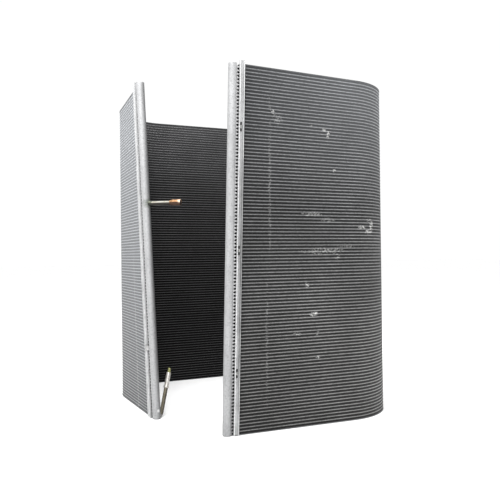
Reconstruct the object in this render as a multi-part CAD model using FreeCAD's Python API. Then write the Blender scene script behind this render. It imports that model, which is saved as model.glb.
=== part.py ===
"""Wrap-round condenser coil: a flat-tube aluminium core bent round three corners, open at the fourth.

X runs along the front panel, Y to the back, Z up. The origin is at the middle of the foot print, on
the floor. The front leg (towards -Y) and the left leg (towards -X) both end in a vertical header tube.
"""

import FreeCAD
import Part
import math
import os

# Core: flat tubes and folded fins, brazed into one block
tube_count = 106
tube_thickness = 1.4
fin_height = 8.0
core_depth = 20.0
side_plate_thickness = 1.5
ridge_count = 24
fin_setback = 2.0

# Plan: outside sizes of the rounded square, and the mid-plane radius of its three bends
plan_width = 757.0
plan_depth = 783.0
bend_radius = 175.0
front_leg_length = 398.0
left_leg_length = 315.0

# Spring of the two free legs, in degrees: positive stands open, negative is closed in
front_bottom_angle = -1.7
front_top_angle = 3.5
left_bottom_angle = -4.8
left_top_angle = 1.6

# Headers: D-section tubes with the flat towards the core
header_diameter = 25.0
header_wall = 1.6
header_flat = 8.0
return_header_overhang = 1.0
inlet_header_overhang = 12.0
header_to_core = 17.0
tube_end_depth = 18.0
cap_thickness = 3.0
baffle_thickness = 2.5
baffle_height = 300.0

# Edge channels: shallow channels on the outer face, beside the headers
channel_width = 13.5
channel_height = 8.0
channel_wall = 1.2
channel_to_header = 15.0
channel_foot = 2.0
right_channel_overhang = 9.0
left_channel_overhang = 15.0
channel_spans = 4

# Clips that hold the channels, by their height from the floor
clip_size = 7.0
clip_thickness = 1.6
right_clip_heights = (170.0, 504.0, 838.0)
left_clip_heights = (290.0, 806.0)

# Tie tab from the left channel to the inlet header
tab_height = 214.0
tab_width = 14.0
tab_thickness = 1.2

# Gas stub: aluminium pipe with a copper socket. Stub angles are in plan from the square to the leg,
# positive towards the core and negative towards the open corner.
gas_stub_height = 651.0
gas_stub_angle = -38.0
gas_pipe_diameter = 12.0
gas_pipe_wall = 1.2
gas_pipe_length = 74.0
socket_length = 35.0
socket_bore = 16.0
socket_wall = 1.5
socket_depth = 25.0

# Liquid stub: bent pipe from the foot of the inlet header, with a collared sleeve and a brass tip
liquid_stub_height = 8.0
liquid_stub_angle = 35.0
liquid_pipe_diameter = 12.0
liquid_run_out = 2.0
liquid_bend_radius = 10.0
liquid_lean_angle = 18.0
liquid_pipe_rise = 72.0
collar_diameter = 17.0
collar_length = 7.0
sleeve_diameter = 14.0
sleeve_length = 41.0
tip_diameter = 9.5
tip_wall = 1.0
tip_length = 13.0
tip_seat = 8.0

UP = FreeCAD.Vector(0, 0, 1)

tube_pitch = tube_thickness + fin_height
fin_block_height = tube_count * tube_pitch + fin_height
core_height = fin_block_height + 2 * side_plate_thickness
half_core = core_depth / 2
corner_x = plan_width / 2 - half_core - bend_radius
corner_y = plan_depth / 2 - half_core - bend_radius
FRONT_CORNER = FreeCAD.Vector(corner_x, -corner_y, 0)
BACK_CORNER = FreeCAD.Vector(corner_x, corner_y, 0)
LEFT_CORNER = FreeCAD.Vector(-corner_x, corner_y, 0)


def turned(x, y, degrees):
    """Plan vector turned about the vertical."""
    angle = math.radians(degrees)
    cosine = math.cos(angle)
    sine = math.sin(angle)
    return FreeCAD.Vector(x * cosine - y * sine, x * sine + y * cosine, 0)


def share_of_height(z, at_bottom, at_top):
    return at_bottom + (at_top - at_bottom) * z / core_height


class Leg:
    """A free leg of the core, from the end of its bend to the axis of its header."""

    def __init__(self, corner, normal, heading, length, bottom_angle, top_angle, sense, header_overhang):
        self.header_length = core_height + header_overhang
        self.corner = corner
        self.normal_square = normal
        self.heading_square = heading
        self.length = length
        self.bottom_angle = bottom_angle
        self.top_angle = top_angle
        self.sense = sense
        self.foot = self.end(0)
        self.lean = (self.end(core_height) - self.foot) / core_height
        middle = core_height / 2
        self.outward = self.normal(middle)
        self.away = self.heading(middle)

    def open_angle(self, z):
        return share_of_height(z, self.bottom_angle, self.top_angle)

    def normal(self, z):
        return turned(self.normal_square.x, self.normal_square.y, self.sense * self.open_angle(z))

    def heading(self, z):
        return turned(self.heading_square.x, self.heading_square.y, self.sense * self.open_angle(z))

    def start(self, z, offset):
        """Tangent point of the bend and the leg, at an offset from the mid-plane."""
        return self.corner + self.normal(z) * (bend_radius + offset) + UP * z

    def end(self, z):
        """Mid-plane point on the header's axis."""
        return self.start(z, 0) + self.heading(z) * self.length

    def axis(self, z):
        return self.foot + self.lean * z

    def cut(self, z, offset, back):
        """Where a face of the leg meets the plane that lies back from the header's axis."""
        start = self.start(z, offset)
        heading = self.heading(z)
        target = self.axis(z) - self.away * back
        run = (target - start).dot(self.away) / heading.dot(self.away)
        return start + heading * run

    def place(self, along, out, z):
        """Point in the header's own frame: along the leg away from the core, outward, and up."""
        return self.axis(z) + self.away * along + self.outward * out


front_leg = Leg(FRONT_CORNER, FreeCAD.Vector(0, -1, 0), FreeCAD.Vector(-1, 0, 0), front_leg_length,
                front_bottom_angle, front_top_angle, 1, return_header_overhang)
left_leg = Leg(LEFT_CORNER, FreeCAD.Vector(-1, 0, 0), FreeCAD.Vector(0, -1, 0), left_leg_length,
               left_bottom_angle, left_top_angle, -1, inlet_header_overhang)


def bend(corner, start, end, offset, z):
    """Arc of a bend between two outward directions."""
    radius = bend_radius + offset
    middle = (start + end).normalize()
    points = [corner + direction * radius + UP * z for direction in (start, middle, end)]
    return Part.Arc(*points).toShape()


def plan_line(z, offset):
    """Open line of the whole C at one height: four straight runs and three bends."""
    right = FreeCAD.Vector(1, 0, 0)
    back = FreeCAD.Vector(0, 1, 0)
    radius = bend_radius + offset
    level = UP * z
    return [
        Part.makeLine(front_leg.cut(z, offset, header_to_core), front_leg.start(z, offset)),
        bend(FRONT_CORNER, front_leg.normal(z), right, offset, z),
        Part.makeLine(FRONT_CORNER + right * radius + level, BACK_CORNER + right * radius + level),
        bend(BACK_CORNER, right, back, offset, z),
        Part.makeLine(BACK_CORNER + back * radius + level, LEFT_CORNER + back * radius + level),
        bend(LEFT_CORNER, back, left_leg.normal(z), offset, z),
        Part.makeLine(left_leg.start(z, offset), left_leg.cut(z, offset, header_to_core)),
    ]


def end_of(leg, z, offset):
    return leg.cut(z, offset, header_to_core)


def skin(levels):
    """Ruled skin through the C at a list of heights and offsets."""
    return Part.makeLoft([Part.Wire(plan_line(z, offset)) for z, offset in levels], False, True).Faces


def smooth_skin(bottom, top, offset):
    """Plain skin: round bends of one span, flat panels, and free legs that twist with their spring."""
    height = UP * (top - bottom)
    middle = plan_line(core_height / 2, offset)
    faces = []
    for edge in middle[1:-1]:
        edge.translate(UP * (bottom - core_height / 2))
        faces += edge.extrude(height).Faces
    for leg in (front_leg, left_leg):
        start = leg.corner + leg.outward * (bend_radius + offset)
        low = Part.makeLine(start + UP * bottom, end_of(leg, bottom, offset))
        high = Part.makeLine(start + UP * top, end_of(leg, top, offset))
        faces.append(Part.makeRuledSurface(low, high))
    return faces


def smooth_line(z, offset):
    """The C at one height, as the plain skin has it."""
    edges = plan_line(core_height / 2, offset)[1:-1]
    for edge in edges:
        edge.translate(UP * (z - core_height / 2))
    for leg in (front_leg, left_leg):
        start = leg.corner + leg.outward * (bend_radius + offset) + UP * z
        edges.append(Part.makeLine(start, end_of(leg, z, offset)))
    return edges


def flat_cover(outer_edges, outer, inner):
    """Level face between the outer and the inner line of the C."""
    edges = outer_edges + smooth_line(*inner)
    for leg in (front_leg, left_leg):
        edges.append(Part.makeLine(end_of(leg, *outer), end_of(leg, *inner)))
    return Part.Face(Part.Wire(Part.__sortEdges__(edges)))


def end_cover(leg, outer, inner):
    """Plane face that closes the core at a leg's end, with the toothed edge of the outer skin."""
    points = [end_of(leg, z, offset) for z, offset in outer]
    points += [end_of(leg, z, offset) for z, offset in reversed(inner)]
    return Part.Face(Part.makePolygon(points + points[:1]))


def make_core():
    """Tube noses stand out as ridges all round the outside; the fins lie back between them."""
    span = fin_block_height / ridge_count
    bottom = side_plate_thickness
    outer = [(bottom, half_core - fin_setback)]
    for index in range(ridge_count):
        outer.append((bottom + (index + 0.5) * span, half_core))
        outer.append((bottom + (index + 1) * span, half_core - fin_setback))
    inner = [(outer[0][0], -half_core), (outer[-1][0], -half_core)]
    faces = skin(outer) + smooth_skin(inner[0][0], inner[1][0], -half_core)
    faces += [flat_cover(plan_line(*outer[end]), outer[end], inner[end]) for end in (0, -1)]
    faces += [end_cover(leg, outer, inner) for leg in (front_leg, left_leg)]
    shell = Part.makeShell(faces)
    shell.sewShape()
    solid = Part.makeSolid(shell)
    if solid.Volume < 0:
        solid.reverse()
    return solid


def make_side_plate(bottom):
    """Flat plate that closes the stack of fins at the top or the bottom."""
    outer = (bottom, half_core)
    inner = (bottom, -half_core)
    face = flat_cover(smooth_line(*outer), outer, inner)
    return face.extrude(UP * side_plate_thickness)


def make_tube_ends(leg):
    """Bare ends of the flat tubes, from the core to the flat of the header."""
    span = fin_block_height / ridge_count
    half = tube_end_depth / 2
    ends = []
    for index in range(ridge_count):
        z = side_plate_thickness + (index + 0.5) * span - tube_thickness / 2
        corners = [(-header_to_core, half), (-header_flat, half), (-header_flat, -half), (-header_to_core, -half)]
        points = [leg.place(along, out, z) for along, out in corners]
        face = Part.Face(Part.makePolygon(points + points[:1]))
        ends.append(face.extrude(leg.lean * tube_thickness))
    return Part.makeCompound(ends)


def d_face(leg, radius, flat, z):
    """D-shaped face in plan round a header's axis, with its flat towards the core."""
    half = math.sqrt(radius ** 2 - flat ** 2)
    near = leg.place(-flat, half, z)
    far = leg.place(-flat, -half, z)
    arc = Part.Arc(near, leg.place(radius, 0, z), far).toShape()
    return Part.Face(Part.Wire([arc, Part.makeLine(far, near)]))


def along_header(leg, face, length):
    return face.extrude(leg.lean * length)


inner_radius = header_diameter / 2 - header_wall
inner_flat = header_flat - header_wall


def header_body(leg):
    """Header filled solid, to cut and to be cut by."""
    return along_header(leg, d_face(leg, header_diameter / 2, header_flat, 0), leg.header_length)


def make_header(leg):
    inner = along_header(leg, d_face(leg, inner_radius, inner_flat, 0), leg.header_length)
    return header_body(leg).cut(inner)


def make_plug(leg, bottom, thickness):
    """Plug that fills the bore of a header, as an end cap or as the baffle between two passes."""
    return along_header(leg, d_face(leg, inner_radius, inner_flat, bottom), thickness)


def beside_header(leg, z, back, out):
    """Point in a channel's frame: back from the header's axis, and out from the core's mid-plane."""
    return leg.cut(z, half_core, back) + leg.normal(z) * (out - half_core)


def channel_wire(leg, z):
    """U-shaped outline of an edge channel, its web on the core's outer face."""
    near = channel_to_header
    far = channel_to_header + channel_width
    base = half_core
    rim = half_core + channel_height
    corners = [
        (near, base), (far, base), (far, rim), (far - channel_wall, rim),
        (far - channel_wall, base + channel_wall), (near + channel_wall, base + channel_wall),
        (near + channel_wall, rim), (near, rim),
    ]
    points = [beside_header(leg, z, back, out) for back, out in corners]
    return Part.makePolygon(points + points[:1])


def make_channel(leg, overhang):
    """Channel that twists with the face of its leg and stands a little above the core."""
    rise = (core_height + overhang - channel_foot) / channel_spans
    levels = [channel_foot + index * rise for index in range(channel_spans + 1)]
    return Part.makeLoft([channel_wire(leg, z) for z in levels], True, True)


def make_clips(leg, heights):
    """Square clips pressed onto the web of a channel."""
    clips = []
    half = clip_size / 2
    for z in heights:
        normal = leg.normal(z)
        heading = leg.heading(z)
        middle = beside_header(leg, z - half, channel_to_header + channel_width / 2, half_core + channel_wall)
        near = middle + heading * half
        far = middle - heading * half
        points = [near, far, far + normal * clip_thickness, near + normal * clip_thickness]
        clips.append(Part.Face(Part.makePolygon(points + points[:1])).extrude(leg.lean * clip_size))
    return Part.makeCompound(clips)


def make_tab(leg):
    """Tab bent from the rim of the channel to the side of the header."""
    rim = half_core + channel_height
    reach = channel_to_header + channel_wall
    touch = header_diameter / 2
    z = tab_height - tab_width / 2
    low = [beside_header(leg, z, reach, rim), beside_header(leg, z, touch, rim), leg.place(0, touch, z)]
    high = [point + leg.outward * tab_thickness for point in reversed(low)]
    face = Part.Face(Part.makePolygon(low + high + low[:1]))
    return along_header(leg, face, tab_width)


def stub_way(angle):
    """Level direction in which a stub leaves the inlet header."""
    return turned(-left_leg.outward.x, -left_leg.outward.y, angle)


gas_way = stub_way(gas_stub_angle)
liquid_way = stub_way(liquid_stub_angle)


def stub_start(z, way):
    """Centre of a stub where it meets the round side of the inlet header."""
    return left_leg.axis(z) + way * (header_diameter / 2)


def make_pipe(diameter, wall, base, direction, length):
    outer = Part.makeCylinder(diameter / 2, length, base, direction)
    return outer.cut(Part.makeCylinder(diameter / 2 - wall, length, base, direction))


def make_gas_pipe():
    """Pipe with its root cut to the round of the header."""
    root = left_leg.axis(gas_stub_height)
    reach = gas_pipe_length + header_diameter / 2
    return make_pipe(gas_pipe_diameter, gas_pipe_wall, root, gas_way, reach).cut(header_body(left_leg))


def make_gas_socket():
    """Copper end: it slides over the pipe, and its wider bore takes the gas line."""
    overlap = socket_length - socket_depth
    base = stub_start(gas_stub_height, gas_way) + gas_way * (gas_pipe_length - overlap)
    outer = Part.makeCylinder(socket_bore / 2 + socket_wall, socket_length, base, gas_way)
    seat = Part.makeCylinder(gas_pipe_diameter / 2, overlap, base, gas_way)
    bore = Part.makeCylinder(socket_bore / 2, socket_depth, base + gas_way * overlap, gas_way)
    return outer.cut(seat).cut(bore)


def liquid_bend():
    """Start, middle and end of the liquid stub's bend, and the direction of the pipe above it."""
    start = stub_start(liquid_stub_height, liquid_way) + liquid_way * liquid_run_out
    turn = math.radians(90 - liquid_lean_angle)
    centre = start + UP * liquid_bend_radius
    middle = centre + (liquid_way * math.sin(turn / 2) - UP * math.cos(turn / 2)) * liquid_bend_radius
    end = centre + (liquid_way * math.sin(turn) - UP * math.cos(turn)) * liquid_bend_radius
    return start, middle, end, liquid_way * math.cos(turn) + UP * math.sin(turn)


def up_the_liquid_pipe(distance):
    start, middle, end, direction = liquid_bend()
    return end + direction * distance, direction


sleeve_top = liquid_pipe_rise + collar_length + sleeve_length
pipe_top = sleeve_top - tip_seat


def make_liquid_pipe():
    """Pipe that leaves the foot of the header, turns up at once and leans away from it."""
    root = left_leg.axis(liquid_stub_height)
    start, middle, end, direction = liquid_bend()
    top, direction = up_the_liquid_pipe(pipe_top)
    path = Part.Wire([
        Part.makeLine(root, start),
        Part.Arc(start, middle, end).toShape(),
        Part.makeLine(end, top),
    ])
    circle = Part.Wire(Part.makeCircle(liquid_pipe_diameter / 2, root, liquid_way))
    pipe = path.makePipeShell([circle], True, False)
    return pipe.cut(header_body(left_leg))


def make_liquid_sleeve():
    """Sleeve over the top of the pipe, with a collar at its foot."""
    foot, direction = up_the_liquid_pipe(liquid_pipe_rise)
    collar = Part.makeCylinder(collar_diameter / 2, collar_length, foot, direction)
    sleeve = Part.makeCylinder(sleeve_diameter / 2, collar_length + sleeve_length, foot, direction)
    bore = Part.makeCylinder(liquid_pipe_diameter / 2, collar_length + sleeve_length, foot, direction)
    return collar.fuse(sleeve).removeSplitter().cut(bore)


def make_liquid_tip():
    """Narrow tube whose wider root stands on the pipe's end inside the sleeve."""
    root, direction = up_the_liquid_pipe(pipe_top)
    seat = Part.makeCylinder(liquid_pipe_diameter / 2, tip_seat, root, direction)
    tube = Part.makeCylinder(tip_diameter / 2, tip_seat + tip_length, root, direction)
    bore = Part.makeCylinder(tip_diameter / 2 - tip_wall, tip_seat + tip_length, root, direction)
    return tube.fuse(seat).removeSplitter().cut(bore)


def make_caps(leg):
    """Plugs flush with the two ends of a header."""
    bottoms = (0, leg.header_length - cap_thickness)
    return Part.makeCompound([make_plug(leg, bottom, cap_thickness) for bottom in bottoms])


parts = {
    "tube_and_fin_core": make_core(),
    "bottom_side_plate": make_side_plate(0),
    "top_side_plate": make_side_plate(core_height - side_plate_thickness),
    "return_header": make_header(front_leg),
    "return_header_tube_ends": make_tube_ends(front_leg),
    "return_header_caps": make_caps(front_leg),
    "inlet_header": make_header(left_leg),
    "inlet_header_tube_ends": make_tube_ends(left_leg),
    "inlet_header_caps": make_caps(left_leg),
    "inlet_header_baffle": make_plug(left_leg, baffle_height, baffle_thickness),
    "right_edge_channel": make_channel(front_leg, right_channel_overhang),
    "right_edge_channel_clips": make_clips(front_leg, right_clip_heights),
    "left_edge_channel": make_channel(left_leg, left_channel_overhang),
    "left_edge_channel_clips": make_clips(left_leg, left_clip_heights),
    "channel_tie_tab": make_tab(left_leg),
    "gas_stub_pipe": make_gas_pipe(),
    "gas_stub_socket": make_gas_socket(),
    "liquid_stub_pipe": make_liquid_pipe(),
    "liquid_stub_sleeve": make_liquid_sleeve(),
    "liquid_stub_tip": make_liquid_tip(),
}

box = Part.makeCompound(list(parts.values())).optimalBoundingBox(False)
to_origin = FreeCAD.Vector(-box.Center.x, -box.Center.y, 0)

os.makedirs("parts", exist_ok=True)
for name, shape in parts.items():
    shape.translate(to_origin)
    shape.exportStep(f"parts/{name}.step")
    print(name, "valid", shape.isValid(), "solids", len(shape.Solids), "volume", round(shape.Volume))
print("outside", [round(value, 1) for value in (box.XLength, box.YLength, box.ZLength)])
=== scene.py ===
"""Wrap-round condenser coil, dressed over its solids: all the flat tubes, the folded fins, both
headers, the edge channels and the two pipe stubs. Lengths are in metres, with Z up and the floor at
zero."""

import math

import bpy
import numpy as np
from mathutils import Matrix, Vector


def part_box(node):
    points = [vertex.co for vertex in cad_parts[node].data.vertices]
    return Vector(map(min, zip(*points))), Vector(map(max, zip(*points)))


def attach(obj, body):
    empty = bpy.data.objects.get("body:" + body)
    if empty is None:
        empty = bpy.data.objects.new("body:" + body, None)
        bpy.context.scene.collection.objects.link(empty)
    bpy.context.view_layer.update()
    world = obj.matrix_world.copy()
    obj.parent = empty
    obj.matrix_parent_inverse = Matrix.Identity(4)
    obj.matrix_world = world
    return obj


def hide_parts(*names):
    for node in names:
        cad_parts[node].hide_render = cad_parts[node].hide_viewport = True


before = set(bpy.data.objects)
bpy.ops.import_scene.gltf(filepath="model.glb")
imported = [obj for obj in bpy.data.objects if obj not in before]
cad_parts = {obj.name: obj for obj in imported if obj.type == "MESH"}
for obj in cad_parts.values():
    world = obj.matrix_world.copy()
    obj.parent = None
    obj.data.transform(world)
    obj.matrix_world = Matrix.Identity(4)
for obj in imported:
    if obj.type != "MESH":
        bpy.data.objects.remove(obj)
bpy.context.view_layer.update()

# Core
TUBE_COUNT = 106
TUBE_THICKNESS = 0.0014
FIN_HEIGHT = 0.008
FIN_SETBACK = 0.0009
FOLD_PITCH = 0.0026
CORE_DEPTH = 0.020
SIDE_PLATE = 0.0015
TUBE_PITCH = TUBE_THICKNESS + FIN_HEIGHT
CORE_HEIGHT = TUBE_COUNT * TUBE_PITCH + FIN_HEIGHT + 2 * SIDE_PLATE
HALF_CORE = CORE_DEPTH / 2

# Plan, and the spring of the two free legs in degrees, at the floor and at the top
PLAN_WIDTH = 0.757
PLAN_DEPTH = 0.783
BEND_RADIUS = 0.175
FRONT_LEG_LENGTH = 0.398
LEFT_LEG_LENGTH = 0.315
FRONT_LEG_ANGLES = (-1.7, 3.5)
LEFT_LEG_ANGLES = (-4.8, 1.6)

# Headers: their D, how far they stand above the core, and how far they are drawn in, by the height
# above the floor and by the depth below the top
HEADER_RADIUS = 0.0125
HEADER_WALL = 0.0016
HEADER_FLAT = 0.008
HEADER_TO_CORE = 0.017
CAP_THICKNESS = 0.003
RETURN_HEADER_OVERHANG = 0.001
INLET_HEADER_OVERHANG = 0.012
HEADER_FOOT = ((0.0012, 0.0), (0.0007, 0.0008), (0.0002, 0.003), (0.0, 0.006))
HEADER_TOP = ((0.0, 0.0012), (0.0003, 0.0003), (0.0007, 0.0))
HEADER_ROUND = 40
HEADER_LEVELS = 25

# Channels
CHANNEL_WIDTH = 0.0135
CHANNEL_HEIGHT = 0.008
CHANNEL_WALL = 0.0012
CHANNEL_EASE = 0.0003
CHANNEL_TO_HEADER = 0.015
CHANNEL_FOOT = 0.002
CHANNEL_LEVELS = 60
RIGHT_CHANNEL_OVERHANG = 0.009
LEFT_CHANNEL_OVERHANG = 0.015
WINDOW_HALF_WIDTH = 0.0026
WINDOW_MARK = -1.0

# Gas stub. Stub angles are in plan from the square to the leg, positive towards the core.
GAS_STUB_HEIGHT = 0.651
GAS_STUB_ANGLE = -38.0
GAS_PIPE_RADIUS = 0.006
GAS_PIPE_WALL = 0.0012
GAS_PIPE_LENGTH = 0.074
SOCKET_LENGTH = 0.035
SOCKET_BORE_RADIUS = 0.008
SOCKET_WALL = 0.0015
SOCKET_DEPTH = 0.025

# Liquid stub
LIQUID_STUB_HEIGHT = 0.008
LIQUID_STUB_ANGLE = 35.0
LIQUID_PIPE_RADIUS = 0.006
LIQUID_RUN_OUT = 0.002
LIQUID_BEND_RADIUS = 0.010
LIQUID_LEAN_ANGLE = 18.0
LIQUID_PIPE_RISE = 0.072
COLLAR_RADIUS = 0.0085
COLLAR_LENGTH = 0.007
SLEEVE_RADIUS = 0.007
SLEEVE_LENGTH = 0.041
TIP_RADIUS = 0.00475
TIP_WALL = 0.001
TIP_LENGTH = 0.013
TIP_SEAT = 0.008

# Outlines of the turned pieces: each row is a distance along the axis, and a depth below the radius
# that the outline belongs to, less than nought where it stands above it
PIPE_ROUND = 36
BRAZE_COLLAR = ((0.0092, -0.0030), (0.0118, -0.0026), (0.0132, -0.0014), (0.0150, -0.0004),
                (0.0172, 0.0), (0.0195, 0.0))
SOCKET_SWAGE = ((0.0, 0.0), (0.0002, -0.0009), (0.0012, -0.0014), (0.0048, -0.0016))
SOCKET_BELL = ((0.0080, 0.0006), (0.0100, 0.0002))
SOCKET_LIP = ((0.0032, 0.0002), (0.0016, 0.0), (0.0004, 0.0001), (0.0, 0.0006))
SOCKET_INNER_LIP = ((0.0, -0.0003), (0.0004, 0.0))
PIPE_END_EASE = 0.0003
COLLAR_OUTLINE = ((0.0, 0.0010), (0.0006, 0.0002), (0.0016, 0.0), (0.0050, 0.0), (0.0062, 0.0004))
SLEEVE_OUTLINE = ((0.0070, -0.0006), (0.0082, 0.0), (0.0200, 0.0002), (0.0215, -0.0002),
                  (0.0230, 0.0002))
SLEEVE_LIP = ((0.0020, 0.0002), (0.0005, 0.0005))
SLEEVE_EASE = 0.0002
TIP_LIP = ((0.0030, 0.0), (0.0006, 0.0002), (0.0, 0.0006))

# Fillet of the liquid pipe's braze: how far behind the pipe's start its two rings lie, and how much
# thicker the pipe is at those two and at its start
LIQUID_FILLET_PLACES = (0.0045, 0.0020)
LIQUID_FILLET = (0.0018, 0.0014, 0.0004)
ELBOW_POINTS = 13
RISE_POINTS = 11

# Pale bead of weld on the header's front, above that pipe: its height, and how far it lies to the
# right of the axis
WELD_HEIGHT = 0.026
WELD_ACROSS = 0.004

# The corners' centres in plan, set by where the core's right and back faces lie
core_low, core_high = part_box("tube_and_fin_core")
CORNER_X = PLAN_WIDTH / 2 - HALF_CORE - BEND_RADIUS
CORNER_Y = PLAN_DEPTH / 2 - HALF_CORE - BEND_RADIUS
SHIFT = np.array([core_high.x - PLAN_WIDTH / 2, core_high.y - PLAN_DEPTH / 2])
FRONT_CORNER = SHIFT + (CORNER_X, -CORNER_Y)
BACK_CORNER = SHIFT + (CORNER_X, CORNER_Y)
LEFT_CORNER = SHIFT + (-CORNER_X, CORNER_Y)


def compass(angle):
    """Unit vectors in plan: cosine and sine of each angle."""
    return np.stack([np.cos(angle), np.sin(angle)], axis=-1)


def lerp(start, end, share):
    """Points between two arrays of points, at each share of the way."""
    return start[..., None, :] + (end - start)[..., None, :] * share[:, None]


class Leg:
    """A free leg of the core: it leaves its bend along a tangent whose angle grows evenly with
    height."""

    def __init__(self, corner, facing, turn, angles, length, header_overhang):
        self.corner = corner
        self.facing = facing
        self.turn = turn
        self.angles = np.radians(angles)
        self.length = length
        self.header_length = CORE_HEIGHT + header_overhang
        self.foot = self.end(0.0)
        self.lean = (self.end(CORE_HEIGHT) - self.foot) / CORE_HEIGHT
        self.outward = compass(self.normal_angle(CORE_HEIGHT / 2))
        self.away = self.heading(CORE_HEIGHT / 2)

    def normal_angle(self, z):
        """Square facing, turned by the spring at that height."""
        low, high = self.angles
        return self.facing + self.turn * (low + (high - low) * np.asarray(z) / CORE_HEIGHT)

    def heading(self, z):
        """The tangent away from the bend, a quarter turn from the normal."""
        return compass(self.normal_angle(z) - self.turn * math.pi / 2)

    def start(self, z, offset):
        """Tangent point: the corner's centre plus the normal times the bend's radius and the
        offset."""
        reach = np.asarray(BEND_RADIUS + offset)[..., None]
        return self.corner + compass(self.normal_angle(z)) * reach

    def end(self, z):
        """Tangent point at the mid-plane plus the heading times the leg's length."""
        return self.start(z, 0.0) + self.heading(z) * self.length

    def axis(self, z):
        """The header's axis in plan: a straight line from its foot that leans evenly."""
        return self.foot + self.lean * np.asarray(z)[..., None]

    def cut(self, z, offset, back):
        """Where the leg's line at an offset meets the plane that lies back from the header's
        axis."""
        start = self.start(z, offset)
        heading = self.heading(z)
        run = ((self.axis(z) - start) @ self.away - back) / (heading @ self.away)
        return start + heading * np.asarray(run)[..., None]

    def place(self, along, out, z):
        """Header's own frame: axis, plus along times the heading, plus out times the normal."""
        along, out, z = np.broadcast_arrays(along, out, z)
        plan = self.axis(z) + along[..., None] * self.away + out[..., None] * self.outward
        return np.concatenate([plan, z[..., None]], axis=-1)

    def beside(self, z, back, out):
        """Channel's frame: back from the header's axis, out from the core's mid-plane."""
        z, back, out = np.broadcast_arrays(z, back, out)
        proud = (out - HALF_CORE)[..., None]
        plan = self.cut(z, HALF_CORE, back) + compass(self.normal_angle(z)) * proud
        return np.concatenate([plan, z[..., None]], axis=-1)


front_leg = Leg(FRONT_CORNER, -math.pi / 2, 1, FRONT_LEG_ANGLES, FRONT_LEG_LENGTH,
                RETURN_HEADER_OVERHANG)
left_leg = Leg(LEFT_CORNER, math.pi, -1, LEFT_LEG_ANGLES, LEFT_LEG_LENGTH, INLET_HEADER_OVERHANG)


def inlet_axis(z):
    """Point on the inlet header's axis."""
    return np.array([*left_leg.axis(z), z])


def stub_way(angle):
    """Level direction in which a stub leaves the inlet header."""
    opened = math.radians(angle) + math.atan2(-left_leg.outward[1], -left_leg.outward[0])
    return np.array([math.cos(opened), math.sin(opened), 0.0])


# Stations round the core: a few near each header, where the tubes run bare, and even ones in bends
BARE_STATIONS = np.array([0.0, 0.0022, 0.0030, 0.0078, 0.0092, 0.030])
BEND_SHARES = np.linspace(0, 1, 19)[1:]
FRONT_SHARES = np.append(BARE_STATIONS / FRONT_LEG_LENGTH, 1.0)
LEFT_SHARES = 1.0 - np.append(BARE_STATIONS / LEFT_LEG_LENGTH, 1.0)[::-1]
END = np.array([1.0])

# How many times thicker a tube's braze fillet is, at the first stations from a header
BRAZE_FILLET = (5.4, 5.2, 2.7, 2.2, 1.0)


def round_the_core(z, offset, back):
    """Lines round the whole C: leg, bend, wall, bend, wall, bend, leg. Straight runs are shares
    between two points, and bends are even angles about a corner's centre at the bend's radius plus
    the offset."""
    z, offset = np.broadcast_arrays(z, offset)
    radius = (BEND_RADIUS + offset)[..., None, None]

    def arc(corner, first, last):
        first, last = np.broadcast_arrays(first, last)
        angle = first[..., None] + (last - first)[..., None] * BEND_SHARES
        return corner + compass(angle) * radius

    east = np.zeros(z.shape)
    north = np.full(z.shape, math.pi / 2)
    runs = [lerp(front_leg.cut(z, offset, back), front_leg.start(z, offset), FRONT_SHARES)]
    runs.append(arc(FRONT_CORNER, front_leg.normal_angle(z), east))
    runs.append(lerp(runs[-1][..., -1, :], BACK_CORNER + compass(east) * radius[..., 0], END))
    runs.append(arc(BACK_CORNER, east, north))
    runs.append(lerp(runs[-1][..., -1, :], LEFT_CORNER + compass(north) * radius[..., 0], END))
    runs.append(arc(LEFT_CORNER, north, left_leg.normal_angle(z)))
    runs.append(lerp(runs[-1][..., -1, :], left_leg.cut(z, offset, back), LEFT_SHARES[1:]))
    plan = np.concatenate(runs, axis=-2)
    height = np.broadcast_to(z[..., None, None], plan.shape[:-1] + (1,))
    return np.concatenate([plan, height], axis=-1)


def run_from_header(points):
    """Distance along each line to the nearer header: the running sum of its steps, or the rest of
    it."""
    step = np.linalg.norm(np.diff(points, axis=-2), axis=-1)
    run = np.concatenate([np.zeros(step.shape[:-1] + (1,)), np.cumsum(step, axis=-1)], axis=-1)
    return np.minimum(run, run[..., -1:] - run)


def tube_faces(copies, around, along, caps=True):
    """Faces of closed loops carried along a path: each quad joins a point to the next one round its
    loop and the next loop, and each end is one flat face. Points are numbered copy, then round,
    then along."""
    copy = np.arange(copies)[:, None, None] * around * along
    turn = np.arange(around)[:, None]
    step = np.arange(along - 1)
    here = copy + turn * along + step
    beside = copy + (turn + 1) % around * along + step
    faces = np.stack([here, here + 1, beside + 1, beside], axis=-1).reshape(-1, 4).tolist()
    if caps:
        loop = np.arange(copies)[:, None] * around * along + np.arange(around) * along
        faces += loop.tolist() + (loop[:, ::-1] + along - 1).tolist()
    return faces


def outward(points, faces):
    """The same faces, turned over if the volume they close is negative. The volume is a sixth of
    the sum, over a fan of triangles, of each triangle's triple product."""
    volume = 0.0
    for count in {len(face) for face in faces}:
        corners = points[np.array([face for face in faces if len(face) == count])]
        for index in range(1, count - 1):
            fan = np.cross(corners[:, index], corners[:, index + 1])
            volume += np.einsum("ij,ij->", corners[:, 0], fan)
    return faces if volume > 0 else [face[::-1] for face in faces]


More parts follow.
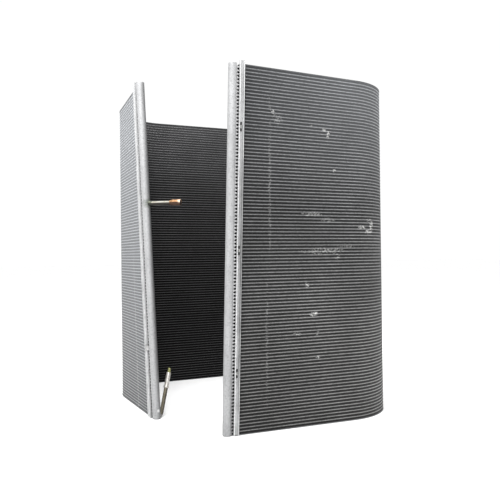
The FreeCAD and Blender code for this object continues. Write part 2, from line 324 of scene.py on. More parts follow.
def piece(name, points, faces, finishes, nodes=(), sharp=40.0, uv=None, which=None):
    """A mesh in place, with its finish, on the coil's only body. Edges sharper than the angle stay
    sharp. The map gives each point a place along and a share across, and which gives each face its
    finish."""
    points = np.asarray(points, float).reshape(-1, 3)
    mesh = bpy.data.meshes.new(name)
    mesh.from_pydata(points, [], outward(points, faces))
    mesh.polygons.foreach_set("use_smooth", np.ones(len(mesh.polygons), bool))
    mesh.set_sharp_from_angle(angle=math.radians(sharp))
    if uv is not None:
        corner = np.empty(len(mesh.loops), int)
        mesh.loops.foreach_get("vertex_index", corner)
        layer = mesh.uv_layers.new(name="along_piece")
        layer.data.foreach_set("uv", uv.reshape(-1, 2)[corner].ravel())
    for finish in finishes if isinstance(finishes, tuple) else (finishes,):
        mesh.materials.append(finish)
    if which is not None:
        mesh.polygons.foreach_set("material_index", which)
    mesh.update()
    made = bpy.data.objects.new(name, mesh)
    bpy.context.scene.collection.objects.link(made)
    if nodes:
        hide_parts(*nodes)
    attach(made, "root")


def add(tree, kind, inputs=(), **settings):
    """A node with its settings, and with each input either linked to a socket or given a value."""
    node = tree.nodes.new("ShaderNode" + kind)
    for name, value in settings.items():
        setattr(node, name, value)
    for key, value in dict(inputs).items():
        if isinstance(value, bpy.types.NodeSocket):
            tree.links.new(value, node.inputs[key])
        else:
            node.inputs[key].default_value = value
    return node


def sums(tree, operation, *values, clamp=False):
    """One arithmetic node."""
    node = add(tree, "Math", dict(enumerate(values)), operation=operation, use_clamp=clamp)
    return node.outputs[0]


def times(tree, first, second):
    return sums(tree, "MULTIPLY", first, second)


def apart(tree, first, second):
    """Size of the difference between two numbers."""
    return sums(tree, "ABSOLUTE", sums(tree, "SUBTRACT", first, second))


def remap(tree, value, start, end, low=0.0, high=1.0):
    """Low where a value is at the start, high where it is at the end, and even between them."""
    return add(tree, "MapRange", {
        "Value": value, "From Min": start, "From Max": end, "To Min": low, "To Max": high,
    }).outputs[0]


def ramp(tree, factor, stops):
    """Colour that goes through the given greys or colours at the given places."""
    node = add(tree, "ValToRGB", {"Fac": factor})
    band = node.color_ramp.elements
    while len(band) < len(stops):
        band.new(0.5)
    for element, (place, colour) in zip(band, stops):
        element.position = place
        element.color = (*(colour if isinstance(colour, tuple) else (colour,) * 3), 1.0)
    return node.outputs["Color"]


def blend(tree, factor, first, second, kind="MIX"):
    """Mix of two colours, each of them a socket or three numbers."""
    first, second = (colour if isinstance(colour, bpy.types.NodeSocket) else (*colour, 1.0)
                     for colour in (first, second))
    return add(tree, "Mix", {0: factor, 6: first, 7: second}, data_type="RGBA",
               blend_type=kind).outputs[2]


def tinted(tree, colour, tint, strength=1.0):
    """Colour times a tint."""
    return blend(tree, strength, colour, tint, "MULTIPLY")


def patched(tree, colour, patch, pattern, start, end, most=1.0):
    """Colour with another one over it where a pattern passes from start to end, up to the most."""
    return blend(tree, ramp(tree, pattern, [(start, 0.0), (end, most)]), colour, patch)


def stretched(tree, place, stretch, centre=(0.0, 0.0, 0.0)):
    """Object coordinates about a centre, with each axis scaled, so a pattern is longer one way."""
    shift = tuple(-c * s for c, s in zip(centre, stretch))
    return add(tree, "Mapping", {"Vector": place, "Scale": stretch, "Location": shift}).outputs[0]


def distance_from(tree, place, centre, half_sizes):
    """Distance from a centre, measured in half sizes."""
    local = stretched(tree, place, tuple(1 / half for half in half_sizes), centre)
    return add(tree, "VectorMath", {0: local}, operation="LENGTH").outputs["Value"]


def noise(tree, place, scale, detail=4.0, roughness=0.55, stretch=None):
    """Cloudy pattern from nought to one."""
    if stretch:
        place = stretched(tree, place, stretch)
    return add(tree, "TexNoise", {
        "Vector": place, "Scale": scale, "Detail": detail, "Roughness": roughness,
    }).outputs["Fac"]


def dim(colour, share):
    return tuple(value * share for value in colour)


def start_finish(name, metallic, roughness):
    """A material with its node tree, its shader and the object coordinates."""
    finish = bpy.data.materials.new(name)
    finish.use_nodes = True
    tree = finish.node_tree
    shader = tree.nodes["Principled BSDF"]
    shader.inputs["Metallic"].default_value = metallic
    shader.inputs["Roughness"].default_value = roughness
    return finish, tree, shader, add(tree, "TexCoord").outputs["Object"]


def set_bump(tree, shader, height, strength, distance):
    bump = add(tree, "Bump", {"Height": height, "Strength": strength, "Distance": distance})
    tree.links.new(bump.outputs[0], shader.inputs["Normal"])


def run_and_share(tree):
    """The two halves of a piece's own map: the run along it, and the share across it."""
    split = add(tree, "SeparateXYZ", {0: add(tree, "TexCoord").outputs["UV"]})
    return split.outputs["X"], split.outputs["Y"]


def across_and_height(tree, place):
    split = add(tree, "SeparateXYZ", {0: place})
    return split.outputs["X"], split.outputs["Z"]


# Patterns on drawn metal. A greater scale gives a finer grain, as does a stretch along its axis.
STAINS = dict(detail=7.0, roughness=0.7, stretch=(1.0, 1.0, 0.45))
DRAW_LINES = dict(scale=1.0, detail=3.0, stretch=(900.0, 900.0, 14.0))
MOTTLE = dict(scale=190.0, detail=3.0, roughness=0.6)
SPECKS = dict(scale=430.0, detail=2.0, roughness=0.5)
# Painted shade in the channels' punched windows
WINDOW_SHADE = (0.03, 0.03, 0.03)


def satin_metal(name, clean, stained, roughness=0.42, stain_scale=9.0, metallic=0.75, shade=None,
                foot=None, under=None, windows=None, far_side=None, spots=()):
    """Drawn or extruded metal: long fine draw lines, cloudy flux stains, small dark specks. Shade
    gives stops for the share across, where painted shade dims the metal. Foot dims the metal
    towards the floor, as painted shade. Under gives a height, a reach and a colour for the
    underside, painted there as shade. Windows gives the heights of the clips, how far above and
    below them the punched windows lie, and a window's half height; the windows are painted dark
    as shade. Far side gives stops over the width, and how strong they are up the height, where the
    metal is darker. Spots are patches of colour: centre, half sizes and colour."""
    finish, tree, shader, place = start_finish(name, metallic, roughness)
    height = across_and_height(tree, place)[1]
    clouds = noise(tree, place, stain_scale, **STAINS)
    lines = noise(tree, place, **DRAW_LINES)
    mottle = noise(tree, place, **MOTTLE)
    specks = noise(tree, place, **SPECKS)
    colour = patched(tree, clean, stained, clouds, 0.42, 0.66)
    colour = patched(tree, colour, dim(stained, 0.62), mottle, 0.48, 0.72, most=0.55)
    colour = patched(tree, colour, dim(stained, 0.35), specks, 0.63, 0.74, most=0.6)
    colour = tinted(tree, colour, ramp(tree, lines, [(0.3, 0.35), (0.7, 1.0)]), strength=0.25)
    # Painted shade across the share given by shade
    if shade:
        width, share = run_and_share(tree)
        colour = tinted(tree, colour, ramp(tree, share, shade))
    if far_side:
        stops, heights = far_side
        cloudy = ramp(tree, clouds, [(0.3, 0.6), (0.6, 1.0)])
        strength = times(tree, ramp(tree, height, heights), cloudy)
        colour = tinted(tree, colour, ramp(tree, width, stops), strength)
    # Painted shade: the punched windows are painted near black
    if windows:
        clips, distance, half = windows
        middle = sums(tree, "LESS_THAN", share, 0.75 * WINDOW_MARK)
        for clip in clips:
            from_window = apart(tree, apart(tree, height, clip), distance)
            hole = times(tree, sums(tree, "LESS_THAN", from_window, half), middle)
            colour = blend(tree, hole, colour, WINDOW_SHADE)
    # Painted shade: darker towards the floor
    if foot:
        colour = tinted(tree, colour, ramp(tree, height, [(0.0, foot), (0.85, 1.0)]))
    # Painted shade on the underside
    if under:
        middle, reach, dark = under
        wander = times(tree, sums(tree, "SUBTRACT", clouds, 0.5), reach)
        level = sums(tree, "ADD", height, wander)
        below = remap(tree, level, middle + reach * 0.4, middle + reach * 0.05)
        colour = blend(tree, below, colour, dark)
    for centre, half_sizes, tone in spots:
        near = remap(tree, distance_from(tree, place, centre, half_sizes), 1.0, 0.3)
        colour = blend(tree, times(tree, near, times(tree, mottle, 1.5)), colour, tone)
    tree.links.new(colour, shader.inputs["Base Color"])
    rough = remap(tree, clouds, 0.0, 1.0, low=roughness - 0.1, high=roughness + 0.22)
    tree.links.new(rough, shader.inputs["Roughness"])
    set_bump(tree, shader, sums(tree, "ADD", lines, mottle), strength=0.4, distance=0.0002)
    return finish


# Knocks and scuffs on the front panel: place across and up, half sizes, and strength
SCUFFS = (
    (0.102, 0.852, 0.0070, 0.0050, 1.0), (0.115, 0.843, 0.0075, 0.0055, 1.0),
    (0.112, 0.832, 0.0045, 0.0080, 0.8), (0.134, 0.735, 0.0060, 0.0050, 0.8),
    (-0.068, 0.889, 0.0050, 0.0060, 1.0), (-0.052, 0.868, 0.0200, 0.0200, 0.5),
    (0.057, 0.860, 0.0060, 0.0040, 0.5), (0.229, 0.569, 0.0150, 0.0060, 1.0),
    (0.258, 0.557, 0.0150, 0.0070, 1.0), (0.272, 0.575, 0.0090, 0.0180, 1.0),
    (0.262, 0.590, 0.0150, 0.0070, 0.8), (0.060, 0.607, 0.0400, 0.0080, 0.6),
    (0.110, 0.590, 0.0350, 0.0080, 0.45), (0.096, 0.500, 0.0850, 0.0110, 0.6),
    (0.141, 0.484, 0.0110, 0.0090, 0.7), (0.175, 0.515, 0.0500, 0.0080, 0.4),
    (0.041, 0.403, 0.0080, 0.0080, 0.8), (0.062, 0.320, 0.0130, 0.0060, 1.0),
    (0.009, 0.266, 0.0150, 0.0060, 0.6), (0.074, 0.264, 0.0060, 0.0120, 0.6),
    (0.074, 0.196, 0.0090, 0.0050, 0.8), (-0.077, 0.720, 0.0060, 0.3200, 0.42),
    (-0.086, 0.250, 0.0060, 0.2600, 0.36),
)
FRONT_FACE = -0.38
SCUFF_REACH = 0.035
SCUFF_SPECKS = dict(scale=230.0, detail=1.0, roughness=0.6)
SCUFF_GRAIN = dict(start=0.38, end=0.62, high=1.5)
SCUFF_FADE = 0.3

# Rub line on the left leg: its run from the header, its half width, and where it starts and ends
LEFT_RUB_RUN = 0.135
LEFT_RUB_HALF_WIDTH = 0.005
LEFT_RUB_EDGE = dict(start=1.2, end=0.9)
LEFT_RUB_HEIGHTS = dict(start=0.62, end=0.3, high=0.4)
LEFT_LEG_EDGE = -0.3


def scuffed(tree, place, run, colour, rub):
    """Colour with the scuffs laid over it. Each scuff is the distance from its centre, measured in
    half sizes and broken up by noise, and a weak one is broken up more. The left leg has one
    upright rub line, where the run from the header is near one value."""
    grain = remap(tree, noise(tree, place, **SCUFF_SPECKS), **SCUFF_GRAIN)
    across, height = across_and_height(tree, place)
    off_line = sums(tree, "DIVIDE", apart(tree, run, LEFT_RUB_RUN), LEFT_RUB_HALF_WIDTH)
    line = remap(tree, sums(tree, "ADD", off_line, grain), **LEFT_RUB_EDGE)
    on_left = times(tree, sums(tree, "LESS_THAN", across, LEFT_LEG_EDGE),
                    remap(tree, height, **LEFT_RUB_HEIGHTS))
    worst = times(tree, line, on_left)
    for along, up, half_along, half_up, strength in SCUFFS:
        centre = (along, FRONT_FACE, up)
        off_scuff = distance_from(tree, place, centre, (half_along, SCUFF_REACH, half_up))
        edge = 0.4 + 0.6 * strength
        mark = remap(tree, sums(tree, "ADD", off_scuff, grain), edge + SCUFF_FADE, edge,
                     high=0.95 * strength ** 1.6)
        worst = sums(tree, "MAXIMUM", worst, mark)
    return blend(tree, worst, colour, rub)


# Weather and painted light and shade on the outer faces. The cast is brown low down and blue
# high up, and the ranges are places across or up, and what they give from start to end.
OUTER_CAST = [
    (0.2, (0.95, 0.935, 0.905)), (0.6, (0.88, 0.88, 0.875)), (0.98, (0.97, 0.98, 1.0)),
]
OUTER_CLOUDS = dict(scale=4.2, detail=5.0, roughness=0.6)
OUTER_GRIT = dict(scale=360.0, detail=2.0, roughness=0.6)
PANEL_SHADE = dict(start=-0.1, end=0.36, low=0.78, high=1.2)
LIT_TOP_HEIGHTS = dict(start=0.62, end=1.0)
LIT_RIGHT_ACROSS = dict(start=-0.2, end=0.3, low=0.03, high=0.19)
LIT_LEG_ACROSS = dict(start=-0.2, end=-0.335)
LIT_LEG_HEIGHTS = dict(start=0.0, end=0.9)
LIT_LEG_FOOT = 0.36


def weathered_and_lit(tree, place, colour, pale, lit_leg_share):
    """Light and dark over metres: the cast, clouds, painted shade on the left of the front panel
    and painted light towards its right, grit, painted light on the upper right part, and painted
    light on the left leg."""
    across, height = across_and_height(tree, place)
    clouds = noise(tree, place, **OUTER_CLOUDS)
    grit = noise(tree, place, **OUTER_GRIT)
    colour = tinted(tree, colour, ramp(tree, height, OUTER_CAST))
    colour = tinted(tree, colour, ramp(tree, clouds, [(0.35, 0.72), (0.66, 1.0)]))
    # Painted shade on the left of the front panel, painted light towards its right
    colour = tinted(tree, colour, remap(tree, across, **PANEL_SHADE))
    colour = tinted(tree, colour, ramp(tree, grit, [(0.36, 0.72), (0.62, 1.0)]))
    # Painted light on the upper right part, and on the left leg, stronger higher up
    lit_top_right = times(tree, remap(tree, height, **LIT_TOP_HEIGHTS), remap(tree, across, **LIT_RIGHT_ACROSS))
    lit_up_leg = remap(tree, height, **LIT_LEG_HEIGHTS, low=lit_leg_share * LIT_LEG_FOOT,
                     high=lit_leg_share)
    left = times(tree, remap(tree, across, **LIT_LEG_ACROSS), lit_up_leg)
    return blend(tree, sums(tree, "ADD", lit_top_right, left, clamp=True), colour, pale)


# Painted light and shade on the inner faces
INNER_LIGHT = (0.36, 0.36, 0.37)
INNER_CLOUDS = dict(scale=5.0, detail=4.0, roughness=0.6)
INNER_LIGHT_HEIGHTS = dict(start=0.45, end=1.0)


def lit_and_shaded_inside(tree, place, colour, most):
    """Inner faces: painted light on the upper part that thins out with the square of the depth
    below the top, and painted shade low down."""
    height = across_and_height(tree, place)[1]
    rise = remap(tree, height, **INNER_LIGHT_HEIGHTS)
    clouds = noise(tree, place, **INNER_CLOUDS)
    share = times(tree, times(tree, rise, rise), times(tree, clouds, most))
    # Painted shade: darker low down
    colour = tinted(tree, colour, ramp(tree, height, [(0.15, 0.55), (0.55, 1.0)]))
    return blend(tree, share, colour, INNER_LIGHT)


# Painted shadow along the channels: where their far edge lies on the tubes and on the fins, how
# wide the shadow is, how far it fades out and wanders, and how it grows with height
CHANNEL_EDGE = CHANNEL_TO_HEADER + CHANNEL_WIDTH - HEADER_FLAT
FIN_CHANNEL_EDGE = CHANNEL_TO_HEADER + CHANNEL_WIDTH - HEADER_TO_CORE
SHADOW_WIDTH = 0.0085
SHADOW_FADE = 0.003
SHADOW_WANDER = 0.009
SHADOW_HEIGHTS = dict(start=0.05, end=0.75, low=0.45)
RAGGED_EDGE = dict(scale=120.0, detail=3.0, roughness=0.7, stretch=(1.0, 1.0, 0.5))


def shadow_beside_channel(tree, place, run, edge, most):
    """Painted shadow along the channel's far edge, as wide as noise makes it, most of it high up."""
    height = across_and_height(tree, place)[1]
    wander = times(tree, noise(tree, place, **RAGGED_EDGE), SHADOW_WANDER)
    far = edge + SHADOW_WIDTH
    line = remap(tree, sums(tree, "ADD", run, wander), far + SHADOW_FADE, far, high=most)
    return times(tree, line, remap(tree, height, **SHADOW_HEIGHTS))


# Patterns on the flat tubes, and how far from a header they are bare, up to where dirt begins
TUBE_CLOUDS = dict(scale=5.0, detail=5.0, roughness=0.6, stretch=(1.0, 1.0, 0.6))
TUBE_GRAIN = dict(scale=160.0, detail=3.0, roughness=0.6, stretch=(1.0, 1.0, 3.0))
BARE_LENGTH = 0.009
BARE_END = 1.15 * BARE_LENGTH


def tube_finish(name, bright, dull, dirt, bare, worn_and_lit):
    """Flat tube: aluminium dulled by weather, with dirt that clouds it, and clean beside the
    headers, where painted shade darkens it towards the floor. Outer faces also get painted light
    and shade and a painted shadow beside each channel; inner faces get painted light high up and
    painted shade low down."""
    finish, tree, shader, place = start_finish(name, metallic=0.4, roughness=0.55)
    shader.inputs["Specular IOR Level"].default_value = 0.3
    run = run_and_share(tree)[0]
    height = across_and_height(tree, place)[1]
    clouds = noise(tree, place, **TUBE_CLOUDS)
    fine = noise(tree, place, **TUBE_GRAIN)
    colour = patched(tree, bright, dull, clouds, 0.35, 0.7)
    colour = patched(tree, colour, dirt, fine, 0.5, 0.72, most=0.75)
    if worn_and_lit:
        colour = weathered_and_lit(tree, place, colour, (0.66, 0.68, 0.71), lit_leg_share=0.85)
        colour = scuffed(tree, place, run, colour, (0.80, 0.80, 0.79))
        # Painted shadow beside the channel's far edge, in the dirt colour dimmed by half
        channel_shadow = shadow_beside_channel(tree, place, run, CHANNEL_EDGE, most=0.8)
        colour = blend(tree, channel_shadow, colour, dim(dirt, 0.5))
    else:
        colour = lit_and_shaded_inside(tree, place, colour, most=0.9)
    # Clean bare ends beside the headers, with painted shade towards the floor
    clean = remap(tree, run, BARE_END, BARE_LENGTH)
    colour = blend(tree, clean, colour, ramp(tree, height, [(0.0, dim(bare, 0.4)), (0.3, bare)]))
    tree.links.new(colour, shader.inputs["Base Color"])
    set_bump(tree, shader, fine, strength=0.4, distance=0.0004)
    return finish


# Patterns on the fins: how their crests wander, and the grime between them
CREST_WANDER = dict(scale=55.0, detail=3.0, roughness=0.6, stretch=(1.0, 1.0, 4.0))
FIN_GRIME = dict(scale=90.0, detail=3.0, roughness=0.6, stretch=(1.0, 1.0, 2.0))


def fin_finish(name, edge, gap, crest, worn_and_lit):
    """Folded fins seen at their edges: thin lines that lean one way and the other, with dark gaps
    that are painted shade for the depth between the fins, and round crests where they are brazed
    to the tubes. A line is where a triangle wave along the core meets the share of the row's
    height, and a crest is near a share of nought or one."""
    finish, tree, shader, place = start_finish(name, metallic=0.2, roughness=0.7)
    shader.inputs["Specular IOR Level"].default_value = 0.1
    shader.inputs["Sheen Weight"].default_value = 0.08 if worn_and_lit else 0.0
    shader.inputs["Sheen Roughness"].default_value = 0.5
    run, share = run_and_share(tree)
    folds = sums(tree, "PINGPONG", sums(tree, "DIVIDE", run, FOLD_PITCH), 0.5)
    line = ramp(tree, apart(tree, times(tree, folds, 2.0), share), [(0.08, 1.0), (0.2, 0.0)])
    from_middle = times(tree, apart(tree, share, 0.5), 2.0)
    wander = noise(tree, place, **CREST_WANDER)
    ragged = times(tree, sums(tree, "SUBTRACT", wander, 0.5), 0.4)
    grime = noise(tree, place, **FIN_GRIME)
    # Painted shade: the dark gap colour between the fin lines
    colour = blend(tree, line, gap, edge)
    colour = patched(tree, colour, crest, sums(tree, "ADD", from_middle, ragged), 0.58, 0.86)
    colour = patched(tree, colour, gap, grime, 0.52, 0.75, most=0.6)
    if worn_and_lit:
        colour = weathered_and_lit(tree, place, colour, (0.46, 0.475, 0.495), lit_leg_share=0.46)
        colour = scuffed(tree, place, run, colour, (0.52, 0.52, 0.51))
        # Painted shadow beside the channel's far edge, in the gap colour
        channel_shadow = shadow_beside_channel(tree, place, run, FIN_CHANNEL_EDGE, most=1.0)
        colour = blend(tree, channel_shadow, colour, gap)
    else:
        colour = lit_and_shaded_inside(tree, place, colour, most=0.22)
    tree.links.new(colour, shader.inputs["Base Color"])
    set_bump(tree, shader, line, strength=0.6, distance=0.0006)
    return finish


outer_tube = tube_finish("outer_tube_nose", (0.46, 0.465, 0.47), (0.34, 0.345, 0.35),
                         (0.12, 0.12, 0.12), (0.44, 0.44, 0.445), worn_and_lit=True)
# Inner tube noses: a much darker copy of the outer finish, as painted shade inside the C
shaded_inner_tube = tube_finish("shaded_inner_tube_nose", (0.13, 0.13, 0.132), (0.08, 0.08, 0.082),
                         (0.03, 0.03, 0.03), (0.34, 0.34, 0.34), worn_and_lit=False)
outer_fin = fin_finish("outer_fin", (0.070, 0.070, 0.072), (0.004, 0.004, 0.004),
                       (0.21, 0.212, 0.216), worn_and_lit=True)
# Inner fins: a much darker copy of the outer fins, as painted shade inside the C
shaded_inner_fin = fin_finish("shaded_inner_fin", (0.012, 0.012, 0.013), (0.001, 0.001, 0.001),
                       (0.034, 0.034, 0.035), worn_and_lit=False)

# Painted shade on the headers' flank towards the inside of the coil: share of the way round, and
# dimming. Then where the inlet header is darker round the gas stub's root, and has a pale bead of
# weld.
SHADED_FLANK = [(0.23, 0.28), (0.327, 0.42), (0.411, 0.68), (0.50, 0.88), (0.58, 1.0)]
GAS_ROOT = inlet_axis(GAS_STUB_HEIGHT) + HEADER_RADIUS * stub_way(GAS_STUB_ANGLE)
LIQUID_WELD = inlet_axis(WELD_HEIGHT) + np.array([WELD_ACROSS, -HEADER_RADIUS, 0.0])

# Painted shade in the channels' hollows: share of the depth, and dimming. Then, for the right
# one, darkening over its width, and how strong that is up the height.
HOLLOW_SHADE = [(0.10, 0.64), (0.4, 0.58), (0.8, 0.82), (0.93, 1.0)]
FAR_SIDE_DARKENING = (
    [(0.1, 1.0), (0.3, 0.74), (0.8, 0.62), (0.92, 0.4)],
    [(0.04, 0.25), (0.2, 0.9), (0.45, 1.0), (0.66, 0.9), (0.87, 0.0)],
)
RIGHT_WINDOWS = ((0.170, 0.504, 0.838), 0.0085, 0.0042)
LEFT_WINDOWS = ((0.290, 0.806), 0.0070, 0.0032)

# Painted highlight on the socket's mouth
SOCKET_MOUTH_HIGHLIGHT = (-0.2700, -0.1680, 0.6560)

# Painted shade down one side of the liquid pipe: share of it, and dimming
PIPE_SHADE_STOPS = [(0.45, 1.0), (0.85, 0.25)]

plate_metal = satin_metal("side_plate_sheet", (0.20, 0.205, 0.21), (0.12, 0.12, 0.125))
cap_metal = satin_metal("header_plug", (0.5, 0.5, 0.51), (0.34, 0.34, 0.34), roughness=0.5)
# Header tubes: painted shade on the flank towards the inside of the coil, and towards the floor
return_metal = satin_metal("return_header_tube", (0.443, 0.446, 0.452), (0.366, 0.369, 0.373),
                           roughness=0.55, metallic=0.4, shade=SHADED_FLANK, foot=0.76)
inlet_metal = satin_metal("inlet_header_tube", (0.480, 0.483, 0.490), (0.400, 0.403, 0.407),
                          roughness=0.55, metallic=0.4, shade=SHADED_FLANK, foot=0.74, spots=(
                              (GAS_ROOT, (0.028, 0.028, 0.018), (0.07, 0.085, 0.058)),
                              (LIQUID_WELD, (0.006, 0.006, 0.006), (0.70, 0.70, 0.69)),
                          ))
right_sheet = satin_metal("right_channel_sheet", (0.88, 0.885, 0.89), (0.72, 0.725, 0.73),
                          roughness=0.45, stain_scale=40.0, metallic=0.4, shade=HOLLOW_SHADE,
                          windows=RIGHT_WINDOWS, far_side=FAR_SIDE_DARKENING)
left_sheet = satin_metal("left_channel_sheet", (0.78, 0.785, 0.79), (0.62, 0.625, 0.63),
                         roughness=0.45, stain_scale=40.0, metallic=0.4, shade=HOLLOW_SHADE,
                         windows=LEFT_WINDOWS)
clip_metal = satin_metal("clip_sheet", (0.40, 0.40, 0.39), (0.16, 0.16, 0.15),
                         roughness=0.4, stain_scale=150.0, metallic=0.5)
tab_metal = satin_metal("tab_sheet", (0.42, 0.42, 0.42), (0.25, 0.25, 0.24),
                        roughness=0.5, stain_scale=120.0, metallic=0.4)
# Braze bead: painted shade on its underside
braze_metal = satin_metal("braze_bead", (0.15, 0.16, 0.12), (0.07, 0.08, 0.05),
                          roughness=0.6, stain_scale=120.0, metallic=0.2,
                          under=(GAS_STUB_HEIGHT, GAS_PIPE_RADIUS, (0.016, 0.016, 0.011)))
pale_weld = satin_metal("pale_bead", (0.44, 0.44, 0.43), (0.24, 0.24, 0.22),
                        roughness=0.55, stain_scale=120.0, metallic=0.3)
# Gas pipe: painted shade on its underside
pipe_metal = satin_metal("stub_tube", (0.46, 0.455, 0.43), (0.28, 0.26, 0.20),
                         roughness=0.5, stain_scale=60.0, metallic=0.3,
                         under=(GAS_STUB_HEIGHT, GAS_PIPE_RADIUS, (0.016, 0.013, 0.009)))
# Copper socket: painted shade on its underside and a painted highlight at its mouth
copper = satin_metal("old_copper", (0.52, 0.29, 0.14), (0.30, 0.15, 0.07),
                     roughness=0.35, stain_scale=70.0, metallic=0.6,
                     under=(GAS_STUB_HEIGHT, SOCKET_BORE_RADIUS, (0.045, 0.022, 0.012)),
                     spots=((SOCKET_MOUTH_HIGHLIGHT, (0.013, 0.013, 0.008), (0.86, 0.66, 0.52)),))
# Near-black inside of the socket's bore: painted shade
bore_shade = satin_metal("bore_painted_shade", (0.035, 0.025, 0.020), (0.018, 0.014, 0.012),
                        roughness=0.6, stain_scale=90.0, metallic=0.1)
# Liquid pipe: tarnished brown, with painted shade down one side
brown_pipe = satin_metal("tarnished_pipe", (0.27, 0.24, 0.175), (0.14, 0.12, 0.08),
                         roughness=0.5, stain_scale=50.0, metallic=0.3, shade=PIPE_SHADE_STOPS)
sleeve_metal = satin_metal("bright_sleeve", (0.80, 0.79, 0.77), (0.40, 0.36, 0.30),
                           roughness=0.35, stain_scale=110.0, metallic=0.5)
brass = satin_metal("brass_tip", (0.36, 0.37, 0.15), (0.19, 0.19, 0.08),
                    roughness=0.4, stain_scale=70.0, metallic=0.5)


def flat_tubes():
    """Every flat tube from header to header: a flat section with half-round noses, carried round
    the C. A nose is the half thickness times cosine and sine, added to the half depth less that
    thickness. In the bare gap each tube is thicker by its braze collar, which is gone where the
    fins start."""
    half = TUBE_THICKNESS / 2
    angle = np.radians([-90, -45, 0, 45, 90, 90, 135, 180, 225, 270])
    side = np.repeat([1, -1], 5)
    offset = side * (HALF_CORE - half) + half * np.cos(angle)
    rise = half * np.sin(angle)
    middle = SIDE_PLATE + FIN_HEIGHT + half + TUBE_PITCH * np.arange(TUBE_COUNT)
    points = round_the_core(middle[:, None] + rise, offset, HEADER_FLAT)
    fillet = np.ones(points.shape[2])
    fillet[:len(BRAZE_FILLET)] = BRAZE_FILLET
    fillet[-len(BRAZE_FILLET):] = BRAZE_FILLET[::-1]
    points[..., 2] += rise[None, :, None] * (fillet - 1)
    run = run_from_header(points)
    around = len(angle)
    along = points.shape[2]
    inner = np.isin(np.arange(around), (5, 6, 7, 8)).astype(int)
    inner_faces = np.tile(np.repeat(inner, along - 1), TUBE_COUNT)
    piece("flat_tubes", points, tube_faces(TUBE_COUNT, around, along), (outer_tube, shaded_inner_tube),
          ["tube_and_fin_core", "return_header_tube_ends", "inlet_header_tube_ends"],
          sharp=50.0, uv=np.stack([run, np.zeros(run.shape)], axis=-1),
          which=np.append(inner_faces, np.zeros(2 * TUBE_COUNT, int)))


def fin_rows():
    """Every row of folded fin as a ribbon between two tubes, set back from their noses on both
    faces. Its map holds the distance to the nearer header and the share of the row's height."""
    rows = TUBE_COUNT + 1
    rise = np.array([0.0, FIN_HEIGHT, FIN_HEIGHT, 0.0])
    face = HALF_CORE - FIN_SETBACK
    offset = np.array([face, face, -face, -face])
    foot = SIDE_PLATE + TUBE_PITCH * np.arange(rows)
    points = round_the_core(foot[:, None] + rise, offset, HEADER_TO_CORE)
    run = run_from_header(points)
    share = np.broadcast_to((rise / FIN_HEIGHT)[None, :, None], run.shape)
    along = points.shape[2]
    inner_faces = np.tile(np.repeat([0, 0, 1, 0], along - 1), rows)
    # The rows' end faces take the shaded inner fin finish, as painted shade beside the headers
    piece("fin_rows", points, tube_faces(rows, 4, along), (outer_fin, shaded_inner_fin),
          uv=np.stack([run, share], axis=-1),
          which=np.append(inner_faces, np.ones(2 * rows, int)))


def d_outline(inset):
    """D in plan, drawn in by each inset: an arc about the header's axis, closed by a straight flat
    towards the core."""
    radius = HEADER_RADIUS - inset
    limit = np.arccos((inset - HEADER_FLAT) / radius)
    angle = np.linspace(-limit, limit, HEADER_ROUND)
    return radius * np.cos(angle), radius * np.sin(angle)


def header(name, node, leg, finish):
    """D tube from floor to top: its outline carried up the lean, drawn in a little round the foot
    and the top, and the bore's outline inside it down to the plugs. Its map holds the height and
    the share of the way round the arc."""
    top = leg.header_length
    levels = [(HEADER_WALL, CAP_THICKNESS), (HEADER_WALL, 0.0), *HEADER_FOOT]
    levels += [(0.0, top * share) for share in np.linspace(0.02, 0.98, HEADER_LEVELS)]
    levels += [(inset, top - depth) for inset, depth in HEADER_TOP]
    levels += [(HEADER_WALL, top), (HEADER_WALL, top - CAP_THICKNESS)]
    inset, z = np.array(levels).T
    along, out = d_outline(inset)
    around, count = along.shape
    share = np.broadcast_to(np.linspace(0, 1, around)[:, None], along.shape)
    faces = tube_faces(1, around, count, caps=False)
    first = np.arange(around) * count
    second = np.roll(first, -1)
    bore = np.stack([first, second, second + count - 1, first + count - 1], axis=-1)
    piece(name, leg.place(along, out, z), faces + bore.tolist(), finish, [node],
          uv=np.stack([np.broadcast_to(z, along.shape), share], axis=-1))


def channel(name, node, leg, overhang, finish):
    """U channel that twists with its leg: eight corners with their edges eased, carried up the
    height. Its map holds the share of the width, away from the header, and the share of the depth,
    or the window mark in the middle of the floor."""
    ease = CHANNEL_EASE
    near = CHANNEL_TO_HEADER
    far = near + CHANNEL_WIDTH
    near_wall = near + CHANNEL_WALL
    far_wall = far - CHANNEL_WALL
    base = HALF_CORE
    rim = base + CHANNEL_HEIGHT
    floor = base + CHANNEL_WALL
    middle = near + CHANNEL_WIDTH / 2
    outline = [
        (near + 2 * ease, base), (far - 2 * ease, base), (far, base + 2 * ease),
        (far, rim - ease), (far - ease, rim), (far_wall + ease, rim), (far_wall, rim - ease),
        (far_wall, floor + ease), (far_wall - ease, floor),
        (middle + WINDOW_HALF_WIDTH, floor), (middle - WINDOW_HALF_WIDTH, floor),
        (near_wall + ease, floor), (near_wall, floor + ease), (near_wall, rim - ease),
        (near_wall - ease, rim), (near + ease, rim), (near, rim - ease), (near, base + 2 * ease),
    ]
    back, out = np.array(outline).T
    z = np.linspace(CHANNEL_FOOT, CORE_HEIGHT + overhang, CHANNEL_LEVELS)
    width = (back - near) / CHANNEL_WIDTH
    share = (out - base) / CHANNEL_HEIGHT
    share[np.isclose(np.abs(back - middle), WINDOW_HALF_WIDTH)] = WINDOW_MARK
    piece(name, leg.beside(z[None, :], back[:, None], out[:, None]),
          tube_faces(1, len(back), len(z)), finish, [node],
          uv=np.repeat(np.stack([width, share], axis=-1)[:, None, :], len(z), axis=1))


